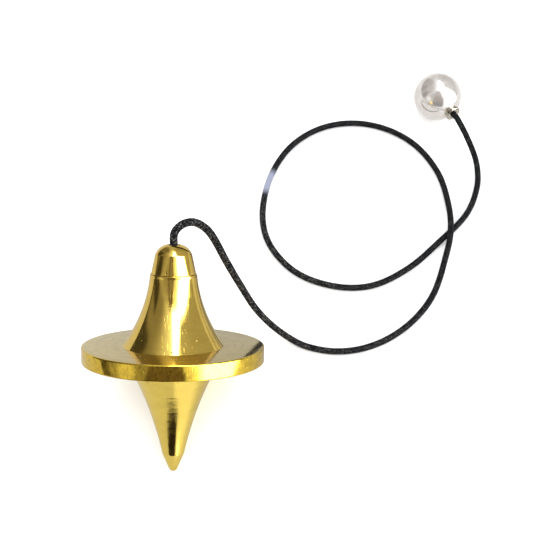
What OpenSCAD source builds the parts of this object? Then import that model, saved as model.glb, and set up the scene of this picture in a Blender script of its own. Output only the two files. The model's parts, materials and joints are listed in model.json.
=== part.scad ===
// Brass spinning top pendulum on a braided cord with a metal bead.
// The bob lies on its disc's rim and its tip, and the cord lies beside it.
// Millimetres, +Z up, and z = 0 is the surface that everything lies on.
// "Height" along the bob means distance from the disc's top face, towards the cap.

/* [Disc] */
// Diameter of the disc
disc_d = 40; // [36:0.5:44]
// Thickness of the disc
disc_t = 3.5; // [3:0.1:4]
// Bevel on both edges of the disc's rim
disc_bevel = 0.35; // [0.1:0.05:0.5]

/* [Upper bell] */
// Diameter of the bell where it stands on the disc
bell_foot_d = 22.3; // [20:0.1:24]
// Diameter of the bell at its lip, under the cap
bell_lip_d = 10.4; // [9.8:0.1:11]
// Height of the lip above the disc's top face
bell_h = 15.65; // [14:0.05:17]
// Height of the straight band at the lip
lip_band = 0.6; // [0.3:0.1:1]
// Radius of the bell's hollow flare
bell_flare_r = 31; // [24:1:50]

/* [Lower cone] */
// Distance from the disc's top face to the end of the tip
tip_reach = 28.8; // [27:0.05:31]
// Diameter of the cone where it meets the disc
cone_top_d = 20.6; // [19:0.2:22]
// Diameter of the cone where its point begins
cone_end_d = 4.9; // [4:0.1:6]
// Distance from the disc's top face to where the point begins
cone_reach = 24.6; // [22:0.05:25.5]
// Radius of the cone's hollow flare
cone_flare_r = 80; // [60:5:120]
// Radius of the rounded end of the point
tip_r = 1; // [0.6:0.1:1.3]

/* [Screw cap] */
// Diameter of the cap at its lower edge
cap_foot_d = 9.9; // [9:0.1:10.3]
// Diameter of the cap at its shoulder
cap_shoulder_d = 8.1; // [7:0.1:8.6]
// Height of the shoulder above the disc's top face
cap_shoulder_h = 19.95; // [19.6:0.05:20.3]
// Height of the cap's top above the disc's top face
cap_top_h = 22.05; // [21.8:0.05:22.3]
// Radius of the dome between shoulder and top
cap_dome_r = 3.45; // [2.9:0.05:5]
// Diameter of the countersink that the cord comes out of
countersink_d = 3.65; // [3:0.05:4]
// Outside diameter of the threaded spigot
spigot_d = 6; // [5:0.5:7]
// Length of the threaded spigot
spigot_l = 4; // [3:0.5:5]

/* [Cord and bead] */
// Diameter of the cord
cord_d = 1.5; // [1.2:0.1:1.6]
// Diameter of the bead
bead_d = 13; // [12:0.5:14]
// Outside diameter of the ferrule's lip
ferrule_d = 4.2; // [4:0.1:4.6]
// Distance from the bead's centre to the ferrule's end
ferrule_reach = 7.6; // [7.2:0.1:8.4]

/* [Hidden] */
$fn = 96;
eps = 0.01;

// Clearances
seam_gap = 0.05;
thread_clearance = 0.05;
spigot_end_gap = 0.5;
cord_clearance = 0.2;
knot_clearance = 0.3;

// Joining stud, and the depth that it is screwed into the bell and the cone
stud_d = 4;
stud_up = 7;
stud_down = 9;

// Knots tied in the cord
knot_d = 3.4;
knot_l = 2.8;
knot_round = 0.8;
stopper_top_h = 18.85;
end_knot_depth = 2.7;

// Bead bores and ferrule
bead_r = bead_d / 2;
bead_flat = sqrt(pow(bead_r, 2) - pow(ferrule_d / 2, 2));
ferrule_neck_d = ferrule_d - 0.4;
ferrule_spigot_d = 3.2;
ferrule_spigot_l = 2.6;
ferrule_lip = 0.8;
ferrule_round = 0.15;

// How the bob lies: its rim and its rounded tip both touch z = 0
disc_r = disc_d / 2;
tip_centre = tip_reach - tip_r;
rim_to_tip = tip_centre - disc_t + disc_bevel;
tilt = atan(disc_r / rim_to_tip) - asin(tip_r / norm([disc_r, rim_to_tip]));
disc_h = (disc_t - disc_bevel) * sin(tilt) + disc_r * cos(tilt);
bob_y = 2;

// How the bead lies
bead_x = 71.8;
bead_y = 84;
bead_yaw = -62;
bead_pitch = 4;

// Point on the axis of the bob at height h, and on the bead's axis at distance w
function on_bob(h) = [0, bob_y + h * cos(tilt), disc_h + h * sin(tilt)];
function on_bead(w) = [bead_x, bead_y, bead_r]
    + w * [cos(bead_pitch) * cos(bead_yaw), cos(bead_pitch) * sin(bead_yaw), sin(bead_pitch)];

// The cord's route, from the knot in the cap to the knot in the bead
route = [
    on_bob(stopper_top_h), on_bob(cap_top_h),
    [0.2, 21.7, 32.8], [2, 23.2, 33.8], [4.4, 23.9, 33.5], [7, 23.6, 31.4],
    [8.8, 22.9, 28.3], [11.5, 21.1, 22.1], [15.2, 18.6, 14.6], [19.4, 15.6, 7.8],
    [24.9, 12.7, 2.7], [31.3, 9.6, 0.8], [38.4, 8.2, 0.75], [45.7, 9.1, 0.75],
    [52.8, 12.2, 0.75], [59.3, 17.3, 0.75], [64.6, 24.1, 0.75], [68.7, 33.9, 1.2],
    [71.1, 42.4, 2.3], [71.8, 53.1, 1.1], [70.2, 62.5, 0.75], [64.7, 71.7, 0.75],
    [56.2, 77.2, 0.75], [46.2, 78.5, 0.75], [36.3, 75.1, 0.75], [28.2, 67.2, 0.75],
    [22.9, 54.6, 0.75], [22.5, 41.5, 0.75], [28.4, 31.5, 0.75], [37.8, 26.6, 0.75],
    [48.4, 26.3, 0.75], [58.7, 31.4, 0.75], [68.1, 39.7, 0.75], [76.4, 48.3, 0.75],
    [80.6, 57.1, 1], [81.1, 64.1, 2.4], [79, 69.9, 5], [76.2, 75.6, 7.1],
    on_bead(ferrule_reach), on_bead(-end_knot_depth)
];
last_point = len(route) - 1;
cord_sides = 8;
ring_gap = 4.6;
arch_segments = 6;
arch_rings = 2;

// Direction of the route at point i, from its neighbours
function unit(v) = v / norm(v);
function heading(i) = unit(route[min(i + 1, last_point)] - route[max(i - 1, 0)]);

// Smooth curve between points i and i + 1, for t from 0 to 1
function along(i, t) =
    let (reach = norm(route[i + 1] - route[i]))
    (2 * pow(t, 3) - 3 * pow(t, 2) + 1) * route[i]
    + (pow(t, 3) - 2 * pow(t, 2) + t) * reach * heading(i)
    + (3 * pow(t, 2) - 2 * pow(t, 3)) * route[i + 1]
    + (pow(t, 3) - pow(t, 2)) * reach * heading(i + 1);

function rings_in(i) = i < arch_segments
    ? arch_rings
    : max(1, round(norm(route[i + 1] - route[i]) / ring_gap));

// Centre line of the cord, and a ring of points round each of its points
centre_line = concat(
    [for (i = [0 : last_point - 1]) for (k = [0 : rings_in(i) - 1]) along(i, k / rings_in(i))],
    [route[last_point]]
);
last_ring = len(centre_line) - 1;
function ring_heading(k) = k == 0 ? unit(route[1] - route[0])
    : k == last_ring ? unit(route[last_point] - route[last_point - 1])
    : unit(centre_line[k + 1] - centre_line[k - 1]);
function ring(k) =
    let (
        ahead = ring_heading(k),
        side = unit(cross(ahead, [0, 0, 1])),
        over = cross(side, ahead)
    )
    [for (j = [0 : cord_sides - 1])
        centre_line[k] + cord_d / 2
            * (cos((j + 0.5) * 360 / cord_sides) * side + sin((j + 0.5) * 360 / cord_sides) * over)];

// Centre of an arc of radius r from p to q, on the left of the way from p to q
function arc_centre(p, q, r) =
    let (half = (q - p) / 2)
    p + half + [-half[1], half[0]] * sqrt(pow(r, 2) - pow(norm(half), 2)) / norm(half);

// Stands its children on the bob's axis, with their z = 0 on the disc's top face
module along_bob() {
    translate(on_bob(0))
        rotate([tilt - 90, 0, 0])
            children();
}

// Stands its children on the bead's axis, with their z = 0 at the bead's centre
module along_bead() {
    translate(on_bead(0))
        rotate([0, 90 - bead_pitch, bead_yaw])
            children();
}

// A hole of diameter d from z = low to z = high
module hole(d, low, high) {
    translate([0, 0, low])
        cylinder(d = d, h = high - low);
}

// A disc of diameter d between heights low and high, with bevelled edges
module bevelled_disc(d, low, high, bevel) {
    rotate_extrude()
        polygon([
            [0, low], [d / 2 - bevel, low], [d / 2, low + bevel],
            [d / 2, high - bevel], [d / 2 - bevel, high], [0, high]
        ]);
}

// A barrel-shaped knot whose top face is at z = top
module knot(top) {
    rotate_extrude()
        translate([0, top - knot_l])
            union() {
                square([knot_d / 2 - knot_round, knot_l]);
                translate([0, knot_round])
                    square([knot_d / 2, knot_l - 2 * knot_round]);
                for (z = [knot_round, knot_l - knot_round])
                    translate([knot_d / 2 - knot_round, z])
                        circle(r = knot_round, $fn = 48);
            }
}

// Flared upper body, with a tapped socket for the cap and a tapped hole for the stud
module upper_bell() {
    foot = [bell_foot_d / 2, 0];
    lip = [bell_lip_d / 2, bell_h - lip_band];
    color("goldenrod")
        along_bob()
            difference() {
                rotate_extrude()
                    difference() {
                        polygon([[0, 0], foot, lip, [bell_lip_d / 2, bell_h], [0, bell_h]]);
                        translate(arc_centre(lip, foot, bell_flare_r))
                            circle(r = bell_flare_r, $fn = 720);
                    }
                hole(spigot_d + 2 * thread_clearance,
                    bell_h - spigot_l - spigot_end_gap, bell_h + eps);
                hole(stud_d, -eps, stud_up);
            }
}

// Flat round disc that the bob spins on and is read against
module flange_disc() {
    color("gold")
        along_bob()
            difference() {
                bevelled_disc(disc_d, -disc_t, 0, disc_bevel);
                hole(stud_d + 2 * thread_clearance, -disc_t - eps, eps);
            }
}

// Slender flared cone under the disc, ending in a steeper point with a rounded end
module lower_cone() {
    top = [cone_top_d / 2, -disc_t];
    end = [cone_end_d / 2, -cone_reach];
    to_tip = norm([cone_end_d / 2, tip_centre - cone_reach]);
    point_angle = atan(cone_end_d / 2 / (tip_centre - cone_reach)) - asin(tip_r / to_tip);
    point = [tip_r * cos(point_angle), -tip_centre - tip_r * sin(point_angle)];
    color("khaki")
        along_bob()
            difference() {
                rotate_extrude()
                    union() {
                        difference() {
                            polygon([[0, -disc_t], [0, point[1]], point, end, top]);
                            translate(arc_centre(top, end, cone_flare_r))
                                circle(r = cone_flare_r, $fn = 1440);
                        }
                        intersection() {
                            translate([0, -tip_centre])
                                circle(r = tip_r);
                            translate([0, -tip_reach - eps])
                                square([tip_r + eps, tip_r]);
                        }
                    }
                hole(stud_d, -disc_t - stud_down, -disc_t + eps);
            }
}

// Threaded stud that draws bell, disc and cone together
module joining_stud() {
    color("silver")
        along_bob()
            bevelled_disc(stud_d, -disc_t - stud_down, stud_up, disc_bevel);
}

// Domed cap that the cord passes through, with a threaded spigot that enters the bell
module screw_cap() {
    foot_h = bell_h + seam_gap;
    shoulder = [cap_shoulder_d / 2, cap_shoulder_h];
    rim = [countersink_d / 2, cap_top_h];
    cord_hole_d = cord_d + 2 * cord_clearance;
    sink_h = (countersink_d - cord_hole_d) / 2;
    color("goldenrod")
        along_bob()
            difference() {
                union() {
                    rotate_extrude()
                        union() {
                            polygon([
                                [0, foot_h], [cap_foot_d / 2, foot_h], shoulder, rim, [0, cap_top_h]
                            ]);
                            intersection() {
                                translate(arc_centre(shoulder, rim, cap_dome_r))
                                    circle(r = cap_dome_r, $fn = 180);
                                translate([0, cap_shoulder_h])
                                    square([cap_shoulder_d, cap_top_h - cap_shoulder_h]);
                            }
                        }
                    bevelled_disc(spigot_d, bell_h - spigot_l, foot_h + eps, disc_bevel);
                }
                hole(knot_d + 2 * knot_clearance, bell_h - spigot_l - eps, stopper_top_h + eps);
                hole(cord_hole_d, stopper_top_h, cap_top_h + eps);
                translate([0, 0, cap_top_h - sink_h])
                    cylinder(d1 = cord_hole_d, d2 = countersink_d + 2 * eps, h = sink_h + eps);
            }
}

// Braided cord, from the stopper knot to the end knot
module cord() {
    color("black")
        polyhedron(
            points = [for (k = [0 : last_ring]) each ring(k)],
            faces = concat(
                [[for (j = [0 : cord_sides - 1]) j]],
                [for (k = [0 : last_ring - 1]) for (j = [0 : cord_sides - 1])
                    let (a = k * cord_sides + j, b = k * cord_sides + (j + 1) % cord_sides)
                    each [[a, a + cord_sides, b], [b, a + cord_sides, b + cord_sides]]],
                [[for (j = [cord_sides - 1 : -1 : 0]) last_ring * cord_sides + j]]
            )
        );
}

// Knot in the cord that holds the cap and bob up
module stopper_knot() {
    color("dimgray")
        along_bob()
            knot(stopper_top_h);
}

// Knot in the cord that holds the bead on
module end_knot() {
    color("dimgray")
        along_bead()
            knot(-end_knot_depth);
}

// Polished metal ball, bored through for the cord and recessed for the end knot
module bead() {
    recess_d = knot_d + 2 * knot_clearance;
    color("silver")
        along_bead()
            difference() {
                intersection() {
                    sphere(r = bead_r);
                    hole(bead_d + 1, -bead_r, bead_flat);
                }
                hole(cord_d + 2 * cord_clearance, -bead_r, bead_r);
                hole(ferrule_spigot_d, bead_flat - ferrule_spigot_l, bead_r);
                hole(recess_d, -bead_r, -end_knot_depth + eps);
            }
}

// Flanged sleeve pressed into the bead where the cord goes in
module bead_ferrule() {
    lip_r = ferrule_d / 2;
    neck_r = ferrule_neck_d / 2;
    lip_low = ferrule_reach - ferrule_lip;
    color("gainsboro")
        along_bead()
            difference() {
                rotate_extrude()
                    polygon([
                        [0, bead_flat - ferrule_spigot_l], [ferrule_spigot_d / 2, bead_flat - ferrule_spigot_l],
                        [ferrule_spigot_d / 2, bead_flat], [neck_r, bead_flat], [neck_r, lip_low],
                        [lip_r, lip_low], [lip_r, ferrule_reach - ferrule_round],
                        [lip_r - ferrule_round, ferrule_reach], [0, ferrule_reach]
                    ]);
                hole(cord_d + 2 * cord_clearance, bead_flat - ferrule_spigot_l - eps,
                    ferrule_reach + eps);
            }
}

upper_bell();
flange_disc();
lower_cone();
joining_stud();
screw_cap();
cord();
stopper_knot();
end_knot();
bead();
bead_ferrule();
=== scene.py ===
import json
from math import asin, atan, cos, hypot, pi, radians, sin, sqrt

import bmesh
import bpy
import numpy as np
from mathutils import Matrix, Vector


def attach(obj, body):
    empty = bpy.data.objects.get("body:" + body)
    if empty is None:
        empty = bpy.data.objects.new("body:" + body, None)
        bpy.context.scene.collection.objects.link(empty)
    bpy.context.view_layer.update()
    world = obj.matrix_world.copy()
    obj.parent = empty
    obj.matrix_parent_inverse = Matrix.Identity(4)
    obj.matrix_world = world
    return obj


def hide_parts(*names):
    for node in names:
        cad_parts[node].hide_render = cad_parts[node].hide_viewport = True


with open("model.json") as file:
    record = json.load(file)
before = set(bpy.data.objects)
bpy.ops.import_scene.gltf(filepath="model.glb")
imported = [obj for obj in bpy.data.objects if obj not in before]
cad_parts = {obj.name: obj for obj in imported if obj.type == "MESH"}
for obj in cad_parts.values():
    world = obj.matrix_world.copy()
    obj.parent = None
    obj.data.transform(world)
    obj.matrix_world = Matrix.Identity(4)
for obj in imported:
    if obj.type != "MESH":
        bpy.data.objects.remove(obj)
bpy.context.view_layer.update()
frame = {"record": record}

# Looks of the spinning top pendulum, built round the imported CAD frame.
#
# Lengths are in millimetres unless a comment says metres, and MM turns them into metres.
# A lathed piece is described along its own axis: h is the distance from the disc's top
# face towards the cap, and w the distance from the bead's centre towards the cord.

MM = 0.001

# ---------------------------------------------------------------- camera

CAMERA_AT = (6.1, -85.3, 202.9)
CAMERA_TURN = (30.14, -3.65, -1.71)
CAMERA_LENS = 62.3


def make_camera():
    """The camera looks down on the table at about 60 degrees."""
    data = bpy.data.cameras.new("camera")
    data.lens = CAMERA_LENS
    data.sensor_width = 36
    data.clip_start = 0.01
    data.clip_end = 10
    camera = bpy.data.objects.new("camera", data)
    camera.location = Vector(CAMERA_AT) * MM
    camera.rotation_euler = [radians(a) for a in CAMERA_TURN]
    bpy.context.collection.objects.link(camera)
    bpy.context.scene.camera = camera


make_camera()

# ------------------------------------------------- axes from the frame

joints = {j["name"]: j for j in frame["record"]["behaviour"]["joints"]}
BELL_H = 15.65
BOB_AXIS = Vector(joints["cap_turn"]["axis"]).normalized()
BOB_ORIGIN = Vector(joints["cap_turn"]["pos_m"]) - BELL_H * MM * BOB_AXIS
BEAD_AXIS = Vector(joints["bead_turn"]["axis"]).normalized()
BEAD_ORIGIN = Vector(joints["bead_turn"]["pos_m"])


def axis_matrix(origin, axis):
    """Matrix that takes local +Z to axis and the local origin to origin."""
    return Matrix.Translation(origin) @ axis.to_track_quat("Z", "Y").to_matrix().to_4x4()


BOB = axis_matrix(BOB_ORIGIN, BOB_AXIS)
BEAD = axis_matrix(BEAD_ORIGIN, BEAD_AXIS)

# ---------------------------------------------------------------- sizes

DISC_R = 20
DISC_T = 3.5
DISC_BEVEL = 0.35
BELL_FOOT_R = 11.15
BELL_LIP_R = 5.2
LIP_BAND = 0.6
BELL_FLARE_R = 31
SOCKET_R = 3.05
SOCKET_L = 4.5
STUD_R = 2
STUD_UP = 7
STUD_DOWN = 9
TIP_REACH = 28.8
TIP_R = 1
CONE_TOP_R = 10.3
CONE_END_R = 2.45
CONE_REACH = 24.6
CONE_FLARE_R = 80
SEAM_GAP = 0.05
CAP_FOOT_R = 4.95
CAP_SHOULDER = (4.05, 19.95)
CAP_TOP_H = 22.05
CAP_DOME_R = 3.45
SINK_R = 1.825
CORD_HOLE_R = 0.95
SPIGOT_R = 3
SPIGOT_L = 4
CAVITY_R = 2
CAVITY_TOP = 18.85
THREAD_PITCH = 1
THREAD_DEPTH = 0.35
CORD_D = 1.5
BEAD_R = 6.5
FERRULE_R = 2.1
FERRULE_NECK_R = 1.9
FERRULE_REACH = 7.6
FERRULE_LIP = 0.8
FERRULE_SPIGOT_R = 1.6
FERRULE_SPIGOT_L = 2.6
RECESS_R = 2
END_KNOT_W = -2.7
KNOT_L = 2.8
KNOT_R = 1.7
# Radii of rounded edges: most of them, then the ones that are sharper or softer
EDGE_R = 0.1
BELL_LIP_EDGE_R = 0.08
TIP_EDGE_R = 0.12
INNER_EDGE_R = 0.15
FERRULE_LIP_EDGE_R = 0.18
FERRULE_MOUTH_EDGE_R = 0.2
# Reach and step in of the rows beside a crease, which keep its shading crisp
BELL_CREASE = (0.03, 0.002)
CAP_CREASE = (0.04, 0.008)
STUD_CLEARANCE = 0.05
# Plain stretches at the ends of threads, and the groove between the cap's thread and foot
SOCKET_LEAD = 0.4
SOCKET_END = 0.1
THREAD_LEAD = 0.2
SPIGOT_CHAMFER = 0.25
UNDERCUT = 0.3
UNDERCUT_L = 0.5
# Edges with a sharper turn than this many degrees are shaded as edges
SHARP_ANGLE = 35

# ------------------------------------------------------------- materials


class Nodes:
    """Adds nodes to a tree, with inputs that are numbers, colours or other nodes' sockets."""

    def __init__(self, tree):
        self.tree = tree

    def add(self, kind, inputs=(), **settings):
        node = self.tree.nodes.new("ShaderNode" + kind)
        for key, value in settings.items():
            setattr(node, key, value)
        for key, value in dict(inputs).items():
            if isinstance(value, bpy.types.NodeSocket):
                self.tree.links.new(value, node.inputs[key])
            else:
                node.inputs[key].default_value = value
        return node

    def math(self, operation, *values):
        """Output of a Math node."""
        return self.add("Math", enumerate(values), operation=operation).outputs[0]

    def vector(self, operation, a, b):
        """Output of a Vector Math node: a number for a dot product or distance."""
        node = self.add("VectorMath", {0: a, 1: b}, operation=operation)
        return node.outputs["Value" if operation in ("DOT_PRODUCT", "DISTANCE") else "Vector"]

    def ramp(self, value, low, high, out_low=0.0, out_high=1.0):
        """Smooth step from out_low to out_high as value goes from low to high."""
        inputs = {"Value": value, "From Min": low, "From Max": high,
                  "To Min": out_low, "To Max": out_high}
        return self.add("MapRange", inputs, interpolation_type="SMOOTHSTEP").outputs[0]

    def mix(self, factor, a, b):
        """Colour between a and b. A colour Mix node has them as its inputs 6 and 7."""
        return self.add("Mix", {0: factor, 6: a, 7: b}, data_type="RGBA").outputs[2]

    def noise(self, vector, scale, detail=2.0):
        """Noise from 0 to 1, with about scale features for each unit of vector."""
        inputs = {"Vector": vector, "Scale": scale, "Detail": detail}
        return self.add("TexNoise", inputs, noise_dimensions="3D").outputs["Fac"]


def new_material(name, **constants):
    """Material with a Principled shader whose constant inputs are set, and its nodes."""
    material = bpy.data.materials.new(name)
    material.use_nodes = True
    shader = material.node_tree.nodes["Principled BSDF"]
    for key, value in constants.items():
        shader.inputs[key.replace("_", " ").title().replace("Ior", "IOR")].default_value = value
    return material, Nodes(material.node_tree), shader


def connect(material, shader, colour, roughness, relief, depth, strength=1.0):
    """Feeds the shader a colour, a roughness, and a relief that is depth millimetres deep."""
    nodes = Nodes(material.node_tree)
    bump = nodes.add("Bump", {"Strength": strength, "Distance": depth * MM, "Height": relief})
    links = material.node_tree.links
    links.new(colour, shader.inputs["Base Color"])
    links.new(roughness, shader.inputs["Roughness"])
    links.new(bump.outputs[0], shader.inputs["Normal"])
    return material


def turned_coordinates(nodes, matrix):
    """Place in millimetres from a piece's axis, and its radius, turn and height."""
    back = matrix.inverted()
    place = nodes.add("Mapping", {
        "Vector": nodes.add("TexCoord").outputs["Object"],
        "Location": back.translation / MM,
        "Rotation": back.to_euler(),
        "Scale": (1 / MM,) * 3
    }).outputs["Vector"]
    split = nodes.add("SeparateXYZ", {0: place}).outputs
    radius = nodes.math("SQRT", nodes.math(
        "ADD", nodes.math("MULTIPLY", split[0], split[0]), nodes.math("MULTIPLY", split[1], split[1])
    ))
    turn = nodes.math("ARCTAN2", split[1], split[0])
    return place, radius, turn, split[2]


def specks(nodes, place, spacing, size, share):
    """Small round specks: 1 in a speck, and 0 elsewhere. Share is how many cells have one."""
    cells = nodes.add("TexVoronoi", {"Vector": place, "Scale": 1 / spacing, "Randomness": 1.0})
    draw = nodes.add("SeparateXYZ", {0: cells.outputs["Color"]}).outputs[0]
    chosen = nodes.math("LESS_THAN", draw, share)
    spot = nodes.ramp(cells.outputs["Distance"], size / spacing, 0.6 * size / spacing)
    return nodes.math("MULTIPLY", chosen, spot)


SPECK_SPACING = 1.3
BRASS_SPECK = 0.2
NICKEL_SPECK = 0.09
GRIME = (0.2, 0.12, 0.05, 1)
RIM_STREAK = (0.25, 0.15, 0.03, 1)
BRASS_PIT = (0.05, 0.035, 0.02, 1)
NICKEL_PIT = (0.2, 0.18, 0.16, 1)
CLEAN_STEEL = (0.56, 0.55, 0.53, 1)
OILY_STEEL = (0.36, 0.33, 0.28, 1)


def brass(name, tone, grime, rough, groove, groove_bump, speck_share, rim=None):
    """Turned brass.

    tone is its clean colour, grime how much dirt clouds it, rough its least
    roughness, groove the width of a turning mark and groove_bump its depth, in
    millimetres. Marks run round the axis. If rim gives a colour, they run round the
    faces and across the rim, which has that colour.
    """
    material, nodes, shader = new_material(name, metallic=1.0)
    place, radius, turn, height = turned_coordinates(nodes, BOB)
    if rim is None:
        along = nodes.math("DIVIDE", height, groove)
        around = nodes.math("MULTIPLY", turn, 1.2)
    else:
        on_rim = nodes.math("GREATER_THAN", radius, DISC_R - DISC_BEVEL)
        face_marks = nodes.math("DIVIDE", radius, groove)
        rim_marks = nodes.math("MULTIPLY", turn, DISC_R / (2 * groove))
        along = nodes.math("ADD", nodes.math("MULTIPLY", on_rim, rim_marks), nodes.math(
            "MULTIPLY", nodes.math("SUBTRACT", 1.0, on_rim), face_marks))
        around = nodes.math("ADD", nodes.math("MULTIPLY", on_rim, height), nodes.math(
            "MULTIPLY", nodes.math("SUBTRACT", 1.0, on_rim), turn))
    lanes = nodes.add("CombineXYZ", {0: around, 1: along, 2: 0.0}).outputs[0]
    fine = nodes.noise(lanes, 1.0, 1.0)
    coarse = nodes.noise(nodes.vector("MULTIPLY", lanes, (0.7, 0.22, 1.0)), 1.0, 2.0)
    handled = nodes.noise(place, 0.35, 3.0)
    grain = nodes.noise(place, 6.0, 2.0)
    scratch_way = nodes.vector("ADD", place, nodes.vector("MULTIPLY", place, (0.3, 0.9, -0.5)))
    scratch = nodes.noise(nodes.vector("MULTIPLY", scratch_way, (6.0, 0.5, 0.5)), 1.0, 3.0)
    scratched = nodes.ramp(scratch, 0.62, 0.72)
    spots = specks(nodes, place, SPECK_SPACING, BRASS_SPECK, speck_share)
    tarnish = nodes.ramp(handled, 0.42, 0.75)
    clean = tone if rim is None else nodes.mix(on_rim, tone, rim)
    dirt = nodes.math("ADD", tarnish, nodes.ramp(coarse, 0.4, 0.7))
    colour = nodes.mix(nodes.math("MULTIPLY", dirt, grime), clean, GRIME)
    if rim is not None:
        streaks = nodes.math("MULTIPLY", on_rim, nodes.ramp(fine, 0.45, 0.7, 0.0, 0.3))
        colour = nodes.mix(streaks, colour, RIM_STREAK)
    colour = nodes.mix(nodes.math("MULTIPLY", spots, 0.9), colour, BRASS_PIT)
    roughness = nodes.math("ADD", rough, nodes.math("MULTIPLY", tarnish, 0.07))
    roughness = nodes.math("ADD", roughness, nodes.math("MULTIPLY", scratched, 0.06))
    roughness = nodes.math("ADD", roughness, nodes.math("MULTIPLY", spots, 0.35))
    relief = nodes.math("ADD", fine, nodes.math("MULTIPLY", coarse, 1.6))
    relief = nodes.math("ADD", relief, nodes.math("MULTIPLY", grain, 0.35))
    relief = nodes.math("SUBTRACT", relief, nodes.math("MULTIPLY", scratched, 0.5))
    relief = nodes.math("SUBTRACT", relief, nodes.math("MULTIPLY", spots, 6.0))
    return connect(material, shader, colour, roughness, relief, groove_bump)


def nickel(name, tone, stain, rough, metal):
    """Polished nickel plate with fine wipe marks and a few specks; a lower metal is paler."""
    material, nodes, shader = new_material(name, metallic=metal)
    place, _, turn, height = turned_coordinates(nodes, BEAD)
    handled = nodes.noise(place, 0.45, 3.0)
    wipes = nodes.noise(nodes.vector("MULTIPLY", place, (5.0, 0.7, 1.6)), 1.0, 3.0)
    rings = nodes.noise(nodes.add("CombineXYZ", {
        0: turn, 1: nodes.math("MULTIPLY", height, 7.0), 2: 0.0}).outputs[0], 1.0, 1.0)
    spots = specks(nodes, place, SPECK_SPACING, NICKEL_SPECK, 0.1)
    colour = nodes.mix(nodes.ramp(handled, 0.4, 0.75), tone, stain)
    colour = nodes.mix(nodes.math("MULTIPLY", spots, 0.6), colour, NICKEL_PIT)
    roughness = nodes.math("ADD", rough, nodes.ramp(handled, 0.35, 0.75, 0.0, 0.06))
    roughness = nodes.math("ADD", roughness, nodes.ramp(wipes, 0.5, 0.8, 0.0, 0.05))
    relief = nodes.math("ADD", wipes, nodes.math("MULTIPLY", rings, 0.6))
    relief = nodes.math("SUBTRACT", relief, nodes.math("MULTIPLY", spots, 4.0))
    return connect(material, shader, colour, roughness, relief, depth=0.0012)


def stud_steel(name):
    """Plain machined steel with a little oil left on it."""
    material, nodes, shader = new_material(name, metallic=1.0)
    place = turned_coordinates(nodes, BOB)[0]
    oil = nodes.noise(place, 0.8, 3.0)
    marks = nodes.noise(nodes.vector("MULTIPLY", place, (0.6, 0.6, 9.0)), 1.0, 2.0)
    colour = nodes.mix(nodes.ramp(oil, 0.4, 0.7), CLEAN_STEEL, OILY_STEEL)
    roughness = nodes.ramp(oil, 0.3, 0.8, 0.28, 0.45)
    return connect(material, shader, colour, roughness, marks, depth=0.004)


# Middle of a waxed stretch on the cord's loop, where a pale glint is painted, and how far it reaches
WAX_AND_GLINT_AT = (23.4, 58, 1.3)
WAX_AND_GLINT_REACH = 5
# Where the cord leaves the cap, and how near to it the braid is fully worn, or hardly
CORD_EXIT = (0, 19.6, 31.2)
WORN_WITHIN = 25
UNWORN_BEYOND = 75
# Braid colours: the gaps between strands are coloured darker than the crowns, which is painted shade
BRAID_GAP_PAINTED_SHADE = (0.001, 0.001, 0.0015, 1)
BRAID_CROWN = (0.008, 0.0085, 0.0105, 1)
BRAID_FIBRE = (0.012, 0.013, 0.016, 1)
WORN_FLECK = (0.12, 0.115, 0.11, 1)
# Pale blue-white of a painted glint on the waxed stretch
PAINTED_GLINT = (0.3, 0.32, 0.42, 1)


def waxed_braid(name):
    """Black braided polyester with a thin, uneven coat of wax, with painted shade in the braid's gaps
    and a painted pale glint on one waxed stretch of the loop.
    """
    material, nodes, shader = new_material(name, ior=1.48, specular_ior_level=0.03)
    place = nodes.vector("MULTIPLY", nodes.add("TexCoord").outputs["Object"], (1 / MM,) * 3)
    fibres = nodes.noise(place, 9.0, 3.0)
    dust = nodes.noise(place, 2.9, 3.0)
    wax = nodes.noise(place, 0.16, 2.0)
    wax_and_glint = nodes.ramp(nodes.vector("DISTANCE", place, WAX_AND_GLINT_AT), WAX_AND_GLINT_REACH, 0.4 * WAX_AND_GLINT_REACH)
    height = nodes.add("Attribute", attribute_name="braid_height").outputs["Fac"]
    from_cap = nodes.vector("DISTANCE", place, CORD_EXIT)
    worn = nodes.ramp(from_cap, UNWORN_BEYOND, WORN_WITHIN, 0.35, 1.0)
    # Painted shade: darker in the gaps between strands, lighter on their crowns
    colour = nodes.mix(nodes.ramp(height, 0.6, 1.0), BRAID_GAP_PAINTED_SHADE, BRAID_CROWN)
    colour = nodes.mix(nodes.ramp(fibres, 0.5, 0.8, 0.0, 0.4), colour, BRAID_FIBRE)
    flecks = nodes.math("MULTIPLY", nodes.ramp(height, 0.5, 0.9), nodes.ramp(dust, 0.52, 0.6))
    colour = nodes.mix(nodes.math("MULTIPLY", flecks, worn), colour, WORN_FLECK)
    # Painted glint: the waxed stretch is coloured pale blue-white, a painted highlight; its lower
    # roughness below is the wax itself
    colour = nodes.mix(nodes.math("MULTIPLY", wax_and_glint, 0.8), colour, PAINTED_GLINT)
    roughness = nodes.math("ADD", nodes.ramp(wax, 0.35, 0.7, 0.4, 0.65), nodes.math(
        "MULTIPLY", wax_and_glint, -0.15))
    relief = nodes.math("ADD", fibres, nodes.math("MULTIPLY", dust, 0.7))
    return connect(material, shader, colour, roughness, relief, depth=0.02, strength=0.7)


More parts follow.
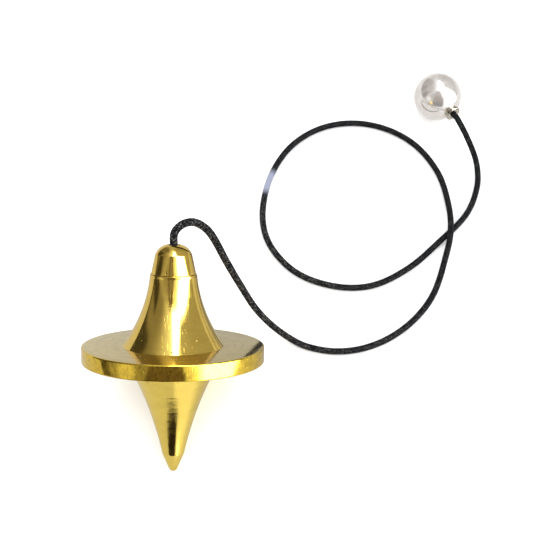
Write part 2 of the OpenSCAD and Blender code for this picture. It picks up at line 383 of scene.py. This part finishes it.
MATERIALS = {
    "polished_brass": brass(
        "polished_brass", (0.86, 0.6, 0.12, 1), grime=0.07,
        rough=0.07, groove=0.34, groove_bump=0.0085, speck_share=0.1),
    "disc_brass": brass(
        "disc_brass", (0.85, 0.67, 0.25, 1), grime=0.17, rim=(0.87, 0.6, 0.068, 1),
        rough=0.08, groove=0.3, groove_bump=0.0075, speck_share=0.22),
    "satin_brass": brass(
        "satin_brass", (0.91, 0.67, 0.14, 1), grime=0.07,
        rough=0.1, groove=0.36, groove_bump=0.0105, speck_share=0.18),
    "cap_brass": brass(
        "cap_brass", (0.86, 0.6, 0.12, 1), grime=0.09,
        rough=0.065, groove=0.28, groove_bump=0.006, speck_share=0.08),
    "stud_steel": stud_steel("stud_steel"),
    "cord_braid": waxed_braid("cord_braid"),
    "bead_metal": nickel(
        "bead_metal", (0.85, 0.8, 0.76, 1), (0.76, 0.7, 0.65, 1), rough=0.14, metal=0.8),
    "ferrule_metal": nickel(
        "ferrule_metal", (0.66, 0.62, 0.52, 1), (0.46, 0.42, 0.34, 1), rough=0.1, metal=1.0),
}

# ------------------------------------------------------------- outlines


def arc(p, q, radius, steps):
    """Points on an arc of that radius from p to q, centred on the left of the way."""
    half = ((q[0] - p[0]) / 2, (q[1] - p[1]) / 2)
    reach = hypot(*half)
    rise = sqrt(radius ** 2 - reach ** 2) / reach
    centre = (p[0] + half[0] - half[1] * rise, p[1] + half[1] + half[0] * rise)
    start = np.arctan2(p[1] - centre[1], p[0] - centre[0])
    turn = 2 * asin(reach / radius)
    angles = [start + turn * k / steps for k in range(steps + 1)]
    return [(centre[0] + radius * cos(a), centre[1] + radius * sin(a)) for a in angles]


# Share of a side that rounding a corner may cut off at most
LARGEST_CUT = 0.45


def fillet(before, corner, after, radius, steps=4):
    """Points that round a corner of an outline off."""
    to_before = Vector(before) - Vector(corner)
    to_after = Vector(after) - Vector(corner)
    cut = min(radius, LARGEST_CUT * to_before.length, LARGEST_CUT * to_after.length)
    a = Vector(corner) + to_before.normalized() * cut
    b = Vector(corner) + to_after.normalized() * cut
    rounded = []
    for k in range(steps + 1):
        t = k / steps
        rounded.append(tuple((1 - t) ** 2 * a + 2 * t * (1 - t) * Vector(corner) + t ** 2 * b))
    return rounded


def rounded_outline(points, steps=4):
    """Outline from (r, h) points, and (r, h, radius) ones whose corner is rounded."""
    outline = []
    last = len(points) - 1
    for k, point in enumerate(points):
        if len(point) == 2:
            outline.append(tuple(point))
        else:
            before = points[max(k - 1, 0)][:2]
            after = points[min(k + 1, last)][:2]
            outline += fillet(before, point[:2], after, point[2], steps)
    return outline


def nearby(start, end, reach):
    """Point a short reach from start on the way to end."""
    way = Vector(end) - Vector(start)
    return tuple(Vector(start) + way.normalized() * reach)


ROWS_PER_PITCH = 10
FADE_ROWS = 5


def thread_rows(radius, low, high, inside):
    """Rows (r, h, depth) of a threaded stretch from height low to high, fading at its ends."""
    steps = ROWS_PER_PITCH * round(abs(high - low) / THREAD_PITCH)
    rows = []
    for k in range(steps + 1):
        h = low + (high - low) * k / steps
        fade = min(1, k / FADE_ROWS, (steps - k) / FADE_ROWS)
        rows.append((radius, h, (-1 if inside else 1) * THREAD_DEPTH * fade))
    return rows


def add_piece(name, verts, faces, body, nodes, slot):
    """Piece that rides on a CAD body and stands for CAD nodes, with outward normals."""
    mesh = bpy.data.meshes.new(name)
    mesh.from_pydata(verts, [], faces)
    shape = bmesh.new()
    shape.from_mesh(mesh)
    bmesh.ops.recalc_face_normals(shape, faces=shape.faces)
    shape.to_mesh(mesh)
    shape.free()
    mesh.shade_smooth()
    mesh.set_sharp_from_angle(angle=radians(SHARP_ANGLE))
    piece = bpy.data.objects.new(name, mesh)
    bpy.context.collection.objects.link(piece)
    mesh.materials.append(MATERIALS[slot])
    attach(piece, body)
    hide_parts(*nodes)
    return piece


# A row with a smaller radius than this is one point on the axis
ON_AXIS = 1e-6


def lathe(name, outline, matrix, body, node, slot, sides=256, closed=False):
    """Turned piece: the outline's (r, h) or (r, h, thread depth) rows, spun round the axis.

    A closed outline's last row joins its first, and an open one starts and ends on the axis.
    """
    angles = np.arange(sides) * 2 * pi / sides
    verts = []
    rows = []
    for row in outline:
        r, h = row[0], row[1]
        depth = row[2] if len(row) > 2 else 0
        if r < ON_AXIS:
            rows.append([len(verts)])
            verts.append((0, 0, h))
            continue
        phase = (h / THREAD_PITCH - angles / (2 * pi)) % 1
        radii = r - depth * np.abs(2 * phase - 1)
        rows.append(list(range(len(verts), len(verts) + sides)))
        verts += [(x, y, h) for x, y in zip(radii * np.cos(angles), radii * np.sin(angles))]
    faces = []
    following = rows[1:] + rows[:1] if closed else rows[1:]
    for low, high in zip(rows, following):
        for k in range(sides):
            n = (k + 1) % sides
            if len(low) == 1:
                faces.append((low[0], high[n], high[k]))
            elif len(high) == 1:
                faces.append((low[k], low[n], high[0]))
            else:
                faces.append((low[k], low[n], high[n], high[k]))
    placed = [matrix @ (Vector(v) * MM) for v in verts]
    return add_piece(name, placed, faces, body, [node], slot)

# ----------------------------------------------------------------- cord


def on_axis(origin, axis, reach):
    """Point in millimetres at a reach along an axis, whose origin is in metres."""
    return tuple((origin + axis * reach * MM) / MM)


ROUTE = [
    on_axis(BOB_ORIGIN, BOB_AXIS, CAVITY_TOP), on_axis(BOB_ORIGIN, BOB_AXIS, CAP_TOP_H),
    (0.2, 21.7, 32.8), (2, 23.2, 33.8), (4.4, 23.9, 33.5), (7, 23.6, 31.4),
    (8.8, 22.9, 28.3), (11.5, 21.1, 22.1), (15.2, 18.6, 14.6), (19.4, 15.6, 7.8),
    (24.9, 12.7, 2.7), (31.3, 9.6, 0.8), (38.4, 8.2, 0.75), (45.7, 9.1, 0.75),
    (52.8, 12.2, 0.75), (59.3, 17.3, 0.75), (64.6, 24.1, 0.75), (68.7, 33.9, 1.2),
    (71.1, 42.4, 2.3), (71.8, 53.1, 1.1), (70.2, 62.5, 0.75), (64.7, 71.7, 0.75),
    (56.2, 77.2, 0.75), (46.2, 78.5, 0.75), (36.3, 75.1, 0.75), (28.2, 67.2, 0.75),
    (22.9, 54.6, 0.75), (22.5, 41.5, 0.75), (28.4, 31.5, 0.75), (37.8, 26.6, 0.75),
    (48.4, 26.3, 0.75), (58.7, 31.4, 0.75), (68.1, 39.7, 0.75), (76.4, 48.3, 0.75),
    (80.6, 57.1, 1), (81.1, 64.1, 2.4), (79, 69.9, 5), (76.2, 75.6, 7.1),
    on_axis(BEAD_ORIGIN, BEAD_AXIS, FERRULE_REACH), on_axis(BEAD_ORIGIN, BEAD_AXIS, END_KNOT_W),
]


# Step, as a share of the way between two points, at which a curve is measured
SPAN_STEP = 0.01


def smooth_curve(points, step):
    """Curve through the points, as points about that step apart and their distances along it."""
    points = [np.array(p, float) for p in points]
    last = len(points) - 1
    headings = []
    for k in range(last + 1):
        way = points[min(k + 1, last)] - points[max(k - 1, 0)]
        headings.append(way / np.linalg.norm(way))
    fine = []
    for k in range(last):
        reach = np.linalg.norm(points[k + 1] - points[k])
        for t in np.arange(0, 1, SPAN_STEP):
            fine.append(
                (2 * t ** 3 - 3 * t ** 2 + 1) * points[k]
                + (t ** 3 - 2 * t ** 2 + t) * reach * headings[k]
                + (3 * t ** 2 - 2 * t ** 3) * points[k + 1]
                + (t ** 3 - t ** 2) * reach * headings[k + 1]
            )
    fine = np.array(fine + [points[last]])
    travelled = np.concatenate([[0], np.cumsum(np.linalg.norm(np.diff(fine, axis=0), axis=1))])
    count = int(round(travelled[-1] / step)) + 1
    even = np.linspace(0, travelled[-1], count)
    line = np.stack([np.interp(even, travelled, fine[:, k]) for k in range(3)], axis=1)
    return line, even


# Any direction that no line here starts along
REFERENCE = (0.1, 0.2, 1)


def carried_frames(line):
    """Two directions across the line at each of its points, which don't twist along it."""
    ahead = np.gradient(line, axis=0)
    ahead /= np.linalg.norm(ahead, axis=1)[:, None]
    side = np.cross(ahead[0], REFERENCE)
    sides = []
    for way in ahead:
        side = side - way * np.dot(side, way)
        side /= np.linalg.norm(side)
        sides.append(side)
    sides = np.array(sides)
    return sides, np.cross(ahead, sides)


BRAID_STRANDS = 6
BRAID_LAY = 4.2
BRAID_RELIEF = 0.15
CROWN_SHARE = 0.75
CORD_SIDES = 48
CORD_STEP = 0.14


def braid_height(turn, along):
    """Height from 0 to 1 of a braid's surface, at a turn from 0 to 1 round it and a distance."""
    right = BRAID_STRANDS * (turn + along / BRAID_LAY)
    left = BRAID_STRANDS * (turn - along / BRAID_LAY)
    right_on_top = (np.floor(right) + np.floor(left)) % 4 < 2
    across = np.where(right_on_top, right % 1, left % 1)
    lengthways = np.where(right_on_top, left % 1, right % 1)
    crown = np.sqrt(np.clip(1 - (2 * across - 1) ** 2, 0, 1))
    return CROWN_SHARE * crown + (1 - CROWN_SHARE) * np.sin(pi * lengthways)


def braided_tube(line, along, radius):
    """Verts in metres, faces and braid heights of a braided tube, with a radius for each ring."""
    sides, overs = carried_frames(line)
    angles = np.arange(CORD_SIDES) * 2 * pi / CORD_SIDES
    height = braid_height(angles[None, :] / (2 * pi), along[:, None])
    reach = radius[:, None] - BRAID_RELIEF * (1 - height)
    ring = (
        np.cos(angles)[None, :, None] * sides[:, None, :]
        + np.sin(angles)[None, :, None] * overs[:, None, :]
    )
    verts = ((line[:, None, :] + reach[:, :, None] * ring) * MM).reshape(-1, 3)
    rows = len(line)
    k = np.arange(rows - 1)[:, None] * CORD_SIDES
    j = np.arange(CORD_SIDES)[None, :]
    n = (j + 1) % CORD_SIDES
    quads = np.stack([k + j, k + n, k + CORD_SIDES + n, k + CORD_SIDES + j], axis=-1)
    faces = quads.reshape(-1, 4).tolist()
    faces.append(list(range(CORD_SIDES))[::-1])
    faces.append([(rows - 1) * CORD_SIDES + s for s in range(CORD_SIDES)])
    return verts.tolist(), faces, height.reshape(-1).tolist()


# The braid is a little fuller than its nominal size, and swells where it leaves the cap
BRAID_FULLNESS = 1.08
CORD_SWELL = 0.14
SWELL_AT = 11
SWELL_REACH = 24


def store_braid(piece, heights):
    """Keeps the braid's height at each vertex, for its material to paint shade into the gaps between
    strands.
    """
    layer = piece.data.attributes.new("braid_height", "FLOAT", "POINT")
    layer.data.foreach_set("value", heights)


def make_cord():
    """The cord, resting on the table where it lies, from knot to knot."""
    line, along = smooth_curve(ROUTE, CORD_STEP)
    swell = 1 + CORD_SWELL * np.exp(-((along - SWELL_AT) / SWELL_REACH) ** 2)
    radius = CORD_D / 2 * BRAID_FULLNESS * swell
    line[:, 2] = np.maximum(line[:, 2], radius)
    verts, faces, heights = braided_tube(line, along, radius)
    piece = add_piece("braided_cord", verts, faces, "line", ["cord"], "cord_braid")
    store_braid(piece, heights)
    return piece


KNOT_WRAPS = 2
KNOT_CORD_R = 0.56
KNOT_STEPS = 26
KNOT_START = 0.3
TAIL_EXTRA_R = 0.1
TAIL_SINK = 0.2
CUT_END = (0.93, 0.7)


def make_knot(name, matrix, top, node):
    """Barrel knot below top on an axis: wraps round the cord's end, which is cut level with them."""
    centre_r = KNOT_R - KNOT_CORD_R
    high = top - KNOT_CORD_R
    low = top - KNOT_L + KNOT_CORD_R
    steps = KNOT_WRAPS * KNOT_STEPS
    points = [(0, 0, low + KNOT_START * (high - low))]
    for k in range(0, steps + 1, 2):
        a = 2 * pi * KNOT_WRAPS * k / steps
        points.append((centre_r * cos(a), centre_r * sin(a), low + (high - low) * k / steps))
    points.append((0, 0, high))
    wraps, along = smooth_curve(points, CORD_STEP)
    tail, tail_along = smooth_curve([(0, 0, top - TAIL_SINK), (0, 0, top - KNOT_L)], CORD_STEP)
    tail_radius = np.full(len(tail), KNOT_CORD_R + TAIL_EXTRA_R)
    tail_radius[-2:] *= CUT_END
    verts, faces, heights = braided_tube(wraps, along, np.full(len(wraps), KNOT_CORD_R))
    tail_verts, tail_faces, tail_heights = braided_tube(tail, tail_along, tail_radius)
    faces += [[i + len(verts) for i in face] for face in tail_faces]
    placed = [matrix @ Vector(v) for v in verts + tail_verts]
    piece = add_piece(name, placed, faces, "line", [node], "cord_braid")
    store_braid(piece, heights + tail_heights)
    return piece

# ------------------------------------------------------- turned pieces


def make_bell():
    """The flared bell, with its band, its threaded socket and the hole for the stud."""
    crease, step_in = BELL_CREASE
    foot = (BELL_FOOT_R, 0)
    lip = (BELL_LIP_R, BELL_H - LIP_BAND)
    flare = arc(lip, foot, BELL_FLARE_R, steps=40)[::-1]
    socket_floor = BELL_H - SOCKET_L
    outline = [(0, STUD_UP), (STUD_R, STUD_UP), (STUD_R, 0)] + flare
    outline += [(BELL_LIP_R - step_in, lip[1] - crease), (BELL_LIP_R, lip[1] + crease)]
    outline += rounded_outline([
        lip, (BELL_LIP_R, BELL_H, BELL_LIP_EDGE_R), (SOCKET_R, BELL_H, INNER_EDGE_R),
        (SOCKET_R, BELL_H - SOCKET_LEAD)
    ])[1:]
    outline += thread_rows(SOCKET_R, BELL_H - SOCKET_LEAD, socket_floor + SOCKET_END, True)
    outline += [(SOCKET_R, socket_floor), (0, socket_floor)]
    return lathe("turned_bell", outline, BOB, "bob", "upper_bell", "polished_brass")


def make_disc():
    """The flat disc, bored for the stud."""
    hole = STUD_R + STUD_CLEARANCE
    outline = rounded_outline([
        (hole, -DISC_T), (DISC_R, -DISC_T, DISC_BEVEL), (DISC_R, 0, DISC_BEVEL), (hole, 0)
    ], steps=8)
    return lathe(
        "turned_disc", outline, BOB, "bob", "flange_disc", "disc_brass", sides=360, closed=True)


NOSE_STEPS = 8


def make_cone():
    """The hollow-sided cone, whose point is a steeper cone with a round tip."""
    top = (CONE_TOP_R, -DISC_T)
    end = (CONE_END_R, -CONE_REACH)
    tip_centre = TIP_REACH - TIP_R
    drop = tip_centre - CONE_REACH
    slope = atan(CONE_END_R / drop) - asin(TIP_R / hypot(CONE_END_R, drop))
    flare = arc(top, end, CONE_FLARE_R, steps=32)
    turn = pi / 2 - slope
    nose = []
    for k in range(NOSE_STEPS):
        a = slope + turn * k / NOSE_STEPS
        nose.append((TIP_R * cos(a), -tip_centre - TIP_R * sin(a)))
    hole_end = -DISC_T - STUD_DOWN
    outline = [(0, hole_end), (STUD_R, hole_end), (STUD_R, -DISC_T)] + flare[:-1]
    outline += fillet(flare[-2], end, nose[0], TIP_EDGE_R) + nose + [(0, -TIP_REACH)]
    return lathe("turned_cone", outline, BOB, "bob", "lower_cone", "satin_brass")


def make_stud():
    """The threaded stud that holds the bell, disc and cone together."""
    low = -DISC_T - STUD_DOWN
    outline = [(0, low), (STUD_R - THREAD_DEPTH, low)]
    outline += thread_rows(STUD_R, low + THREAD_LEAD, STUD_UP - THREAD_LEAD, False)
    outline += [(STUD_R - THREAD_DEPTH, STUD_UP), (0, STUD_UP)]
    return lathe("threaded_stud", outline, BOB, "bob", "joining_stud", "stud_steel", sides=64)


def make_cap():
    """The domed cap, with its threaded spigot, its cavity and the cord's sunk hole."""
    crease, step_in = CAP_CREASE
    foot_h = BELL_H + SEAM_GAP
    neck_r = SPIGOT_R - UNDERCUT
    sink = SINK_R - CORD_HOLE_R
    dome = arc(CAP_SHOULDER, (SINK_R, CAP_TOP_H), CAP_DOME_R, steps=12)
    outline = rounded_outline([
        (CAVITY_R, CAVITY_TOP), (CAVITY_R, BELL_H - SPIGOT_L, INNER_EDGE_R),
        (SPIGOT_R - SPIGOT_CHAMFER, BELL_H - SPIGOT_L)
    ])
    outline += thread_rows(
        SPIGOT_R, BELL_H - SPIGOT_L + THREAD_LEAD, foot_h - UNDERCUT_L, False)
    outline += rounded_outline([
        (neck_r, foot_h - UNDERCUT), (neck_r, foot_h), (CAP_FOOT_R, foot_h, EDGE_R),
        (CAP_SHOULDER[0] + step_in, CAP_SHOULDER[1] - crease)
    ])
    outline += dome[:1] + [nearby(dome[0], dome[1], crease)] + dome[1:]
    outline += [(CORD_HOLE_R, CAP_TOP_H - sink), (CORD_HOLE_R, CAVITY_TOP)]
    return lathe("turned_cap", outline, BOB, "cap", "screw_cap", "cap_brass", closed=True)


BEAD_ROWS = 97


def make_bead():
    """The ball, bored for the cord, with a recess for its end knot."""
    flat = sqrt(BEAD_R ** 2 - FERRULE_R ** 2)
    far_flat = sqrt(BEAD_R ** 2 - RECESS_R ** 2)
    low = asin(far_flat / BEAD_R)
    high = asin(flat / BEAD_R)
    skin = [(BEAD_R * cos(a), BEAD_R * sin(a)) for a in np.linspace(-low, high, BEAD_ROWS)]
    outline = [(CORD_HOLE_R, flat - FERRULE_SPIGOT_L), (CORD_HOLE_R, END_KNOT_W)]
    recess_edge = (RECESS_R, -far_flat + INNER_EDGE_R)
    outline += [(RECESS_R, END_KNOT_W), recess_edge]
    outline += fillet(recess_edge, skin[0], skin[2], EDGE_R) + skin[3:]
    outline += [(FERRULE_SPIGOT_R, flat), (FERRULE_SPIGOT_R, flat - FERRULE_SPIGOT_L)]
    return lathe("polished_bead", outline, BEAD, "bead", "bead", "bead_metal", closed=True)


def make_ferrule():
    """The lipped sleeve that leads the cord into the bead."""
    flat = sqrt(BEAD_R ** 2 - FERRULE_R ** 2)
    inner = flat - FERRULE_SPIGOT_L
    lip_w = FERRULE_REACH - FERRULE_LIP
    outline = rounded_outline([
        (CORD_HOLE_R, inner), (FERRULE_SPIGOT_R, inner, EDGE_R), (FERRULE_SPIGOT_R, flat),
        (FERRULE_NECK_R, flat), (FERRULE_NECK_R, lip_w, EDGE_R), (FERRULE_R, lip_w, EDGE_R),
        (FERRULE_R, FERRULE_REACH, FERRULE_LIP_EDGE_R),
        (CORD_HOLE_R, FERRULE_REACH, FERRULE_MOUTH_EDGE_R)
    ])
    return lathe(
        "lipped_ferrule", outline, BEAD, "bead", "bead_ferrule", "ferrule_metal",
        sides=128, closed=True)


bead = make_bead()
ferrule = make_ferrule()
end_knot = make_knot("tied_end_knot", BEAD, END_KNOT_W, "end_knot")
stopper_knot = make_knot("tied_stopper_knot", BOB, CAVITY_TOP, "stopper_knot")
cord = make_cord()
bell = make_bell()
disc = make_disc()
cone = make_cone()
stud = make_stud()
cap = make_cap()

# --------------------------------------------------------------- studio

# In metres: the floor's half width, the spans over which the light in front of the bob
# sets in, the middle of the bob's shadow, and how far from it the shadow is full and gone
FLOOR_HALF = 1.5
LIT_ALONG_X = (-0.01, 0.02)
LIT_ALONG_Y = (0.0, -0.04)
BOB_SHADOW = (0.018, 0.024, 0)
SHADOW_FADE = (0.012, 0.06)
# Whiteness: in general, where light falls in front of the bob, and its share left in shadow
FLOOR_TONES = (0.9, 0.92, 1.0)
PAPER_TONES = (0.42, 0.62, 0.68)
# The paper's low x, low y, high x and high y, in millimetres
PAPER = (-140, -142, 320, 320)
OPEN_LIGHT = 2.0
SOFTBOX_LIGHT = 11.0


def make_sheet(name, low_x, low_y, high_x, high_y, tones):
    """White sheet on z = 0, in metres: brighter in front of the bob, and darker in its shadow."""
    mesh = bpy.data.meshes.new(name)
    corners = [(low_x, low_y, 0), (high_x, low_y, 0), (high_x, high_y, 0), (low_x, high_y, 0)]
    mesh.from_pydata(corners, [], [(0, 1, 2, 3)])
    sheet = bpy.data.objects.new(name, mesh)
    bpy.context.collection.objects.link(sheet)
    shade, bright, shadow = tones
    material, nodes, shader = new_material(name, roughness=0.9, specular_ior_level=0.0)
    place = nodes.add("TexCoord").outputs["Object"]
    x, y = nodes.add("SeparateXYZ", {0: place}).outputs[:2]
    lit = nodes.math("MULTIPLY", nodes.ramp(x, *LIT_ALONG_X), nodes.ramp(y, *LIT_ALONG_Y))
    level = nodes.ramp(lit, 0.0, 1.0, shade, bright)
    away = nodes.vector("DISTANCE", place, BOB_SHADOW)
    level = nodes.math("MULTIPLY", level, nodes.ramp(away, *SHADOW_FADE, shadow, 1.0))
    colour = nodes.add("CombineColor", {0: level, 1: level, 2: level}).outputs[0]
    material.node_tree.links.new(colour, shader.inputs["Base Color"])
    mesh.materials.append(material)
    return sheet


def make_floor():
    """A white floor, and the smaller sheet of paper that the metal reflects."""
    floor = make_sheet("floor", -FLOOR_HALF, -FLOOR_HALF, FLOOR_HALF, FLOOR_HALF, FLOOR_TONES)
    floor.visible_glossy = False
    paper = make_sheet("paper", *[side * MM for side in PAPER], PAPER_TONES)
    paper.visible_camera = False
    paper.visible_diffuse = False
    paper.visible_shadow = False


def make_world():
    """Even white light, with a studio for the metal to reflect: a softbox that reaches
    from overhead to the front right, and a dark stand with two legs in front.

    Everything in the studio is a mask over directions. A side faces a way, and is 0 up to
    low along it and 1 from high on; a region is the product of its sides.
    """
    world = bpy.data.worlds.new("studio")
    bpy.context.scene.world = world
    world.use_nodes = True
    world.cycles.sampling_method = "NONE"
    nodes = Nodes(world.node_tree)
    way = nodes.add("TexCoord").outputs["Generated"]
    x, _, z = nodes.add("SeparateXYZ", {0: way}).outputs
    # How far right and up a direction leans, where one less than 0.6 up counts as 0.6 up
    lean = nodes.math("ADD", x, nodes.math("MULTIPLY", 0.9, nodes.math("MAXIMUM", z, 0.6)))

    def side(facing, low, high):
        return nodes.ramp(nodes.vector("DOT_PRODUCT", way, facing), low, high)

    def region(*sides):
        product = sides[0]
        for mask in sides[1:]:
            product = nodes.math("MULTIPLY", product, mask)
        return product

    def grey(level, warmth=0.0):
        return (level * (1 + warmth), level, level * (1 - warmth), 1)

    room_right = side((1, 0, 0), 0.3, 0.85)
    left_room = region(side((-1, 0, 0), 0.35, 0.75), side((0, 1, 0), -0.35, -0.1))
    back_left = region(side((-1, 0, 0), 0.15, 0.4), side((0, 1, 0), 0.35, 0.6))
    back_right = region(side((1, 0, 0), -0.1, 0.3), side((0, 1, 0), 0.5, 0.85))
    front_left = region(side((-1, 0, 0), 0.15, 0.35), side((0, -1, 0), 0.25, 0.4))
    below = side((0, 0, -1), 0.02, 0.08)
    below_left = region(below, side((-1, 0, 0), 0.1, 0.6))
    below_front = region(below, side((0, -1, 0), 0.6, 0.9))
    left_corner = region(
        side((-1, 0, 0), 0.66, 0.8), side((0, 1, 0), 0.3, 0.42), side((0, 0, -1), -0.62, -0.4),
    )
    left_wall = region(
        side((-1, 0, 0), 0.85, 0.93), side((0, 1, 0), -0.2, -0.12), side((0, -1, 0), -0.2, -0.08),
    )
    lamp = nodes.math("MULTIPLY", side((-0.822, -0.501, 0.271), 0.965, 0.998), 0.9)
    softbox_end = side((-1, -0.45, 0), -0.37, -0.31)
    glow = region(
        side((1, -0.3, 0), -0.62, 0.02), softbox_end,
        side((0, 1, 0), -0.3, -0.12), side((0, -1, 0), -0.85, -0.6),
    )
    overhead = region(
        side((1, -0.1, 0), -0.12, 0.02), softbox_end,
        side((0, 1, 0), -0.25, -0.1), side((0, -1, 0), -0.7, -0.45),
    )
    front = region(
        nodes.ramp(lean, 0.62, 1.3), side((-0.08, -1, 0), -0.1, 0.0), side((0, 0, 1), -0.12, -0.06),
    )
    front_core = region(
        nodes.ramp(lean, 1.0, 1.22), side((-0.08, -1, 0), -0.05, 0.03), side((0, 0, 1), -0.1, 0.0),
    )
    stand = region(
        side((1, -0.42, 0), -0.22, -0.18), nodes.ramp(lean, 0.84, 0.78), side((0, -1, 0), 0.14, 0.24),
    )
    between_legs = region(stand, region(
        side((1, -0.42, 0), -0.13, -0.09), nodes.ramp(lean, 0.72, 0.68), side((0, 0, 1), 0.68, 0.85),
    ))
    stand_foot = (0.018, 0.013, 0.01, 1)
    stand_top = (0.17, 0.135, 0.12, 1)
    # Each of these covers the ones before it
    layers = [
        (room_right, grey(0.45)),
        (left_room, grey(0.27, 0.05)),
        (back_left, grey(0.2, 0.05)),
        (back_right, grey(0.34, 0.04)),
        (front_left, grey(0.36, 0.04)),
        (below, grey(0.35, 0.03)),
        (below_left, grey(0.14, 0.1)),
        (below_front, grey(0.03, 0.1)),
        (left_corner, grey(0.065, 0.05)),
        (left_wall, grey(0.06, 0.1)),
        (lamp, grey(0.95)),
        (glow, (1.46, 1.54, 1.75, 1)),
        (front, grey(2.2)),
        (stand, nodes.mix(nodes.ramp(z, 0.3, 0.55), stand_foot, stand_top)),
        (between_legs, grey(0.3, 0.05)),
        (overhead, grey(SOFTBOX_LIGHT)),
        (front_core, grey(SOFTBOX_LIGHT)),
    ]
    reflected = grey(0.56)
    for mask, colour in layers:
        reflected = nodes.mix(mask, reflected, colour)
    glossy = nodes.add("LightPath").outputs["Is Glossy Ray"]
    light = nodes.mix(glossy, grey(OPEN_LIGHT), reflected)
    background = world.node_tree.nodes["Background"]
    world.node_tree.links.new(light, background.inputs["Color"])
    background.inputs["Strength"].default_value = 1.0


make_floor()
make_world()
bpy.context.scene.view_settings.view_transform = "Standard"
